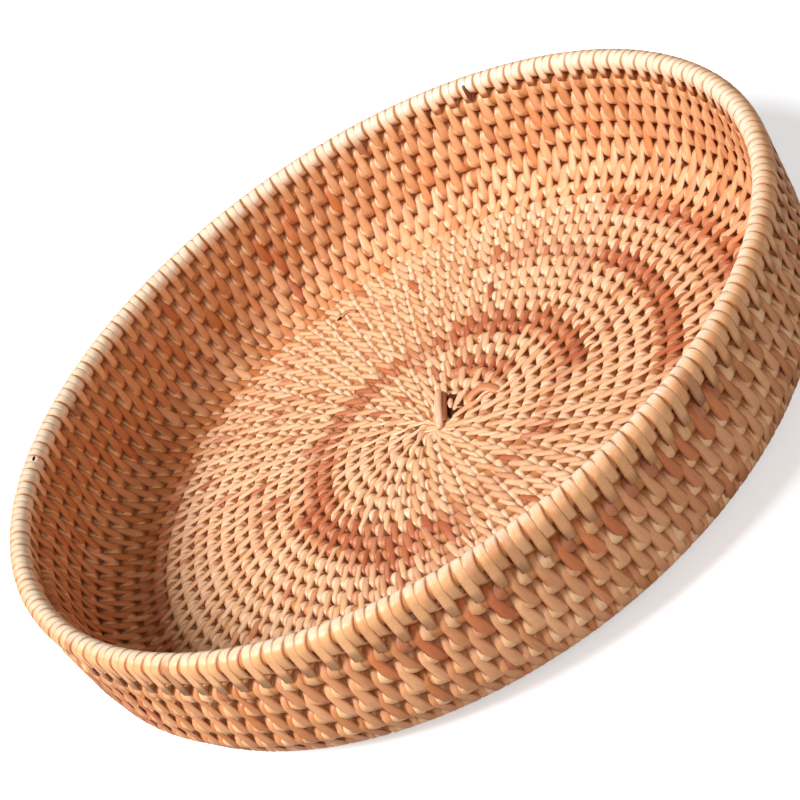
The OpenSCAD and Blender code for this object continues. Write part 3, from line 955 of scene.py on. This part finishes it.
# a closed ellipsoid: a round rod whose sections shrink as the square root of 1 - t * t
def lens(centre, along, up, halfLong, halfWide, halfThick):
    t = np.sin(np.linspace(-np.pi / 2, np.pi / 2, 14))
    path = centre + along * (t * halfLong)[:, None]
    section = np.sqrt(1.0001 - t ** 2)
    return rodMesh(path, up, halfWide * section, halfThick * section, 1.0)


# Directions on the floor, the second one along the hollow. In every piece below, long, wide and
# thick are half sizes, in millimetres, and an offset goes along x, y and z.
pictureRight = np.array([0.591, -0.807, 0.0])  # this one shows as level
holeWay = np.array([0.351, 0.936, 0.0])
startHole, _ = sighted(imagePoints["startHole"], floorCarrier)
loopFoot, _ = sighted(imagePoints["loopLow"], floorCarrier)

# two lenses of cane that close the middle of the coil, under the loop and under the hollow
plug = {"middle": (0.6, -0.2, 1.9), "turn": 1.2, "long": 6.2, "wide": 4.2, "thick": 1.9,
        "holeZ": 2.0, "holeBack": 1.5, "holeLong": 8.0, "holeWide": 2.6}
plugAngle = startRad + plug["turn"]
plugWay = np.array([math.cos(plugAngle), math.sin(plugAngle), 0.0])
startHole[2] = plug["holeZ"]
lenses = [lens(np.array(plug["middle"]), plugWay, floorUp, plug["long"], plug["wide"],
               plug["thick"]),
          lens(startHole - holeWay * plug["holeBack"], holeWay, floorUp, plug["holeLong"],
               plug["holeWide"], plug["thick"])]
startPlug = addFeature("startPlug", lenses, roundCane)
trees["startPlug"] = BVHTree.FromObject(startPlug, depsgraph)
floorCarrier.append("startPlug")

# Short strips that run together at the foot of the loop: rays from it, each bent sideways with
# the square of its length, on a low arch.
fan = {"count": 17, "near": 0.5, "far": 6.0, "wide": 0.62, "thick": 0.42, "steps": 12,
       "bend": 0.05, "below": 0.75, "arch": 0.3, "turnSpread": 0.25, "farSpread": (0.75, 1.1)}
rods = []
for k in range(fan["count"]):
    shift = rng.uniform(-fan["turnSpread"], fan["turnSpread"])
    turn = 2 * math.pi * (k + shift) / fan["count"]
    way = np.array([math.cos(turn), math.sin(turn), 0.0])
    along = np.linspace(fan["near"], fan["far"] * rng.uniform(*fan["farSpread"]), fan["steps"])
    bend = np.array([-way[1], way[0], 0.0]) * (fan["bend"] * along ** 2)[:, None]
    path = loopFoot * [1, 1, 0] + way * along[:, None] + bend
    arch = np.sin(np.linspace(0.2, np.pi, fan["steps"]))
    path[:, 2] = weaveTop - fan["below"] + fan["arch"] * arch
    rods.append(rodMesh(path, floorUp, fan["wide"] * ends(fan["steps"], 0.3), fan["thick"], 0.9))
addFeature("startFan", rods, longCane, tone=-0.4)

# the cane loop over the start of the coil: a pale strip on top, and its shaded edge to the right
# as a second rod in a dark painted shade
loop = {"rises": [0.2, 1.7, 0.5], "wide": 1.3, "thick": 0.75, "steps": 20,
        "sideRight": 1.9, "sideDown": 0.55, "sideWide": 1.15, "sideThick": 0.5, "sideSteps": 16}
path, _ = sightedPath(["loopTop", "loopMid", "loopLow"], loop["rises"], floorCarrier,
                      loop["steps"])
rod = rodMesh(path, floorUp, loop["wide"] * ends(loop["steps"], 0.35), loop["thick"], 1.0)
addFeature("startLoop", [rod], loopCane, "start_loop", tone=-0.2)
# the loop's shaded side, a second rod in a dark painted shade
path = path[:loop["sideSteps"]] + pictureRight * loop["sideRight"] - floorUp * loop["sideDown"]
rod = rodMesh(path, floorUp, loop["sideWide"] * ends(loop["sideSteps"], 0.4), loop["sideThick"])
addFeature("startLoopSide", [rod], loopSideShadeCane, tone=0.5)

# painted shade for the hollow beside it, a thin near-black lens that rests on the weave, and the
# cane's end inside it
hole = {"rise": -0.25, "long": 6.3, "wide": 2.4, "thick": 0.3}
centre, _ = sighted(imagePoints["startHole"], floorCarrier, hole["rise"])
rod = lens(centre, holeWay, floorUp, hole["long"], hole["wide"], hole["thick"])
addFeature("startHollow", [rod], paintedStartHollowShade)
knob = {"rise": 0.5, "long": 2.3, "wide": 0.95, "thick": 0.7}
centre, _ = sighted(imagePoints["startKnob"], floorCarrier, knob["rise"])
rod = lens(centre, holeWay, floorUp, knob["long"], knob["wide"], knob["thick"])
addFeature("startKnob", [rod], loopCane, tone=1.2)

# the loose end of the first strip: a brown arc, and a thin pale strip beside it, a little lower
tail = {"rises": [-0.3, 0.9, 1.1, -0.3], "wide": 1.6, "thick": 0.9, "steps": 30,
        "stripPart": slice(4, 26), "stripOffset": (1.0, -2.6, -0.55), "stripWide": 0.5,
        "stripThick": 0.3}
path, _ = sightedPath(["tailFrom", "tailRise", "tailTop", "tailTip"], tail["rises"],
                      floorCarrier, tail["steps"])
taper = ends(tail["steps"], 0.35)
rod = rodMesh(path, floorUp, tail["wide"] * taper, tail["thick"] * taper, 0.9)
addFeature("startTail", [rod], tailCane, "start_tail")
path = path[tail["stripPart"]] + np.array(tail["stripOffset"])
rod = rodMesh(path, floorUp, tail["stripWide"] * ends(len(path), 0.2), tail["stripThick"])
addFeature("startTailStrip", [rod], loopCane, tone=-1.2)

# a strip's end tucked under the weave, with a painted shade, a near-black lens, for the opening
# that it comes out of
tucked = {"rises": [-0.4, 0.5, -0.4], "wide": 0.8, "thick": 0.5, "steps": 16,
          "holeOffset": (0.0, -0.6, 0.35), "holeWay": (0.94, 0.34, 0.0), "holeLong": 1.15,
          "holeWide": 0.75, "holeThick": 0.3}
path, _ = sightedPath(["tuckedFrom", "tuckedMid", "tuckedTip"], tucked["rises"], floorCarrier,
                      tucked["steps"])
rod = rodMesh(path, floorUp, tucked["wide"] * ends(tucked["steps"], 0.35), tucked["thick"], 0.9)
addFeature("tuckedEnd", [rod], tailCane, tone=1.5)
centre = path[0] + np.array(tucked["holeOffset"])
centre[2] = max(centre[2], 2 * tray["floorBoundR"] - 0.1)
rod = lens(centre, np.array(tucked["holeWay"]), floorUp, tucked["holeLong"], tucked["holeWide"],
           tucked["holeThick"])
addFeature("tuckedHollow", [rod], paintedHollowShade)

# the dark end of the rim strip, let in between two wraps: half widths at shares of its length
splice = {"rises": [0.0, 0.0, 0.0], "at": [0, 0.2, 0.6, 0.85, 1],
          "wide": [0.25, 0.55, 0.6, 0.95, 0.2], "thick": 0.3, "steps": 20}
path, up = sightedPath(["spliceTop", "spliceMid", "spliceLow"], splice["rises"], rimCarrier,
                       splice["steps"])
wide = np.interp(np.linspace(0, 1, splice["steps"]), splice["at"], splice["wide"])
addFeature("rimSplice", [rodMesh(path, up, wide, splice["thick"])], spliceCane,
           "rim_joint_wrap")

# a cane peg that shows on the rim, with a painted shade for the small hollow to its left in the
# photograph
peg = {"rise": 0.1, "long": 0.85, "wide": 0.75, "thick": 0.45,
       "holeLeft": 3.8, "holeDown": 0.5, "holeLong": 1.1, "holeWide": 0.42, "holeThick": 0.2}
centre, up = sighted(imagePoints["rimPeg"], rimCarrier, peg["rise"])
ringWay = np.cross(floorUp, up)
ringWay /= np.linalg.norm(ringWay)
rod = lens(centre, ringWay, up, peg["long"], peg["wide"], peg["thick"])
addFeature("rimPeg", [rod], loopCane, tone=-0.5)
pegX, pegY = imagePoints["rimPeg"]
centre, up = sighted((pegX - peg["holeLeft"], pegY + peg["holeDown"]), rimCarrier)
rod = lens(centre, ringWay, up, peg["holeLong"], peg["holeWide"], peg["holeThick"])
addFeature("rimPegHollow", [rod], paintedHollowShade)
print("features made")


# a plain pale floor, which the camera sees whiter than the light that it throws back
stage = {"halfSize": 1.6, "glow": 0.45, "shown": (0.93, 0.93, 0.93), "thrown": (0.42, 0.40, 0.38)}


def makeFloor():
    mesh = bpy.data.meshes.new("studioFloor")
    size = stage["halfSize"]
    mesh.from_pydata([(-size, -size, 0), (size, -size, 0), (size, size, 0), (-size, size, 0)], [],
                     [(0, 1, 2, 3)])
    floor = bpy.data.objects.new("studioFloor", mesh)
    bpy.context.scene.collection.objects.link(floor)
    material = bpy.data.materials.new("paleFloor")
    material.use_nodes = True
    shader = material.node_tree.nodes["Principled BSDF"]
    shader.inputs["Roughness"].default_value = 0.9
    shader.inputs["Specular IOR Level"].default_value = 0.1
    path = material.node_tree.nodes.new("ShaderNodeLightPath")
    glow = material.node_tree.nodes.new("ShaderNodeMath")
    glow.operation = "MULTIPLY"
    glow.inputs[1].default_value = stage["glow"]
    material.node_tree.links.new(path.outputs["Is Camera Ray"], glow.inputs[0])
    material.node_tree.links.new(glow.outputs[0], shader.inputs["Emission Strength"])
    shader.inputs["Emission Color"].default_value = (1, 1, 1, 1)
    shade = mixColour(material.node_tree, "MIX", path.outputs["Is Camera Ray"],
                      stage["thrown"], stage["shown"])
    material.node_tree.links.new(shade, shader.inputs["Base Color"])
    mesh.materials.append(material)


# power in watts, sizes and places in metres; world is the grey that lights the tray all round
lights = {
    "world": 0.13,
    "key": {"place": (-1.15, -0.25, 1.45), "size": 0.9, "power": 50.0},
    "fill": {"place": (0.3, -1.5, 1.0), "size": 1.2, "power": 11.0},
}


def areaLight(name, setting):
    data = bpy.data.lights.new(name, "AREA")
    data.shape = "DISK"
    data.size = setting["size"]
    data.energy = setting["power"]
    lamp = bpy.data.objects.new(name, data)
    lamp.location = setting["place"]
    aim = Vector((0, 0, 0.02)) - Vector(setting["place"])
    lamp.rotation_euler = aim.to_track_quat("-Z", "Y").to_euler()
    bpy.context.scene.collection.objects.link(lamp)


makeFloor()
areaLight("key", lights["key"])
areaLight("fill", lights["fill"])
world = bpy.data.worlds.new("studio")
bpy.context.scene.world = world
world.use_nodes = True
sky = world.node_tree.nodes["Background"]
seen = world.node_tree.nodes.new("ShaderNodeLightPath")  # white where the camera looks past
skyColour = mixColour(world.node_tree, "MIX", seen.outputs["Is Camera Ray"],
                      (lights["world"],) * 3, (1.0, 1.0, 1.0))
world.node_tree.links.new(skyColour, sky.inputs["Color"])
bpy.context.scene.view_settings.view_transform = "Standard"
print("stage made")


# where each thing shows: the vertices that the camera sees, projected to pixels of the
# photograph's frame
def project(points):  # millimetres to pixels of the photograph's frame
    turnedBack = np.array(cameraMatrix.to_3x3().transposed())
    seen = (metres(points) - np.array(cameraMatrix.translation)) @ turnedBack.T
    scale = photoSize * viewer.data.lens / viewer.data.sensor_width / -seen[:, 2]
    return photoSize / 2 + seen[:, 0] * scale, photoSize / 2 - seen[:, 1] * scale


touching = 0.0004  # metres before a vertex within which a hit still counts as the vertex itself


def shownVertices(name, limit=4000):  # those that the camera sees, of about `limit` looked at
    mesh = bpy.data.objects[name].data
    verts = np.empty(len(mesh.vertices) * 3)
    mesh.vertices.foreach_get("co", verts)
    verts = verts.reshape(-1, 3)[::max(1, len(mesh.vertices) // limit)]
    start = cameraMatrix.translation
    shown = []
    for vert in verts:
        way = Vector(vert) - start
        hit = bpy.context.scene.ray_cast(sceneGraph, start, way.normalized())
        if hit[0] and (hit[1] - start).length > way.length - touching:
            shown.append(vert * 1000)
    return np.array(shown)


sceneGraph = bpy.context.evaluated_depsgraph_get()
features = {"startLoop": "loopMid", "startHollow": "startHole", "startKnob": "startKnob",
            "startTail": "tailMid", "tuckedEnd": "tuckedMid", "rimSplice": "spliceMid",
            "rimPeg": "rimPeg"}
for name, pointName in features.items():
    shown = shownVertices(name)
    if len(shown):
        x, y = project(shown)
outline = np.concatenate([shownVertices(name, 20000) for name in
                          ("rimShortWraps", "wallLongStitches", "cornerLongStitches")])
x, y = project(outline)
for name, at in (("leftEdge", x.argmin()), ("topEdge", y.argmin()), ("bottomEdge", y.argmax())):
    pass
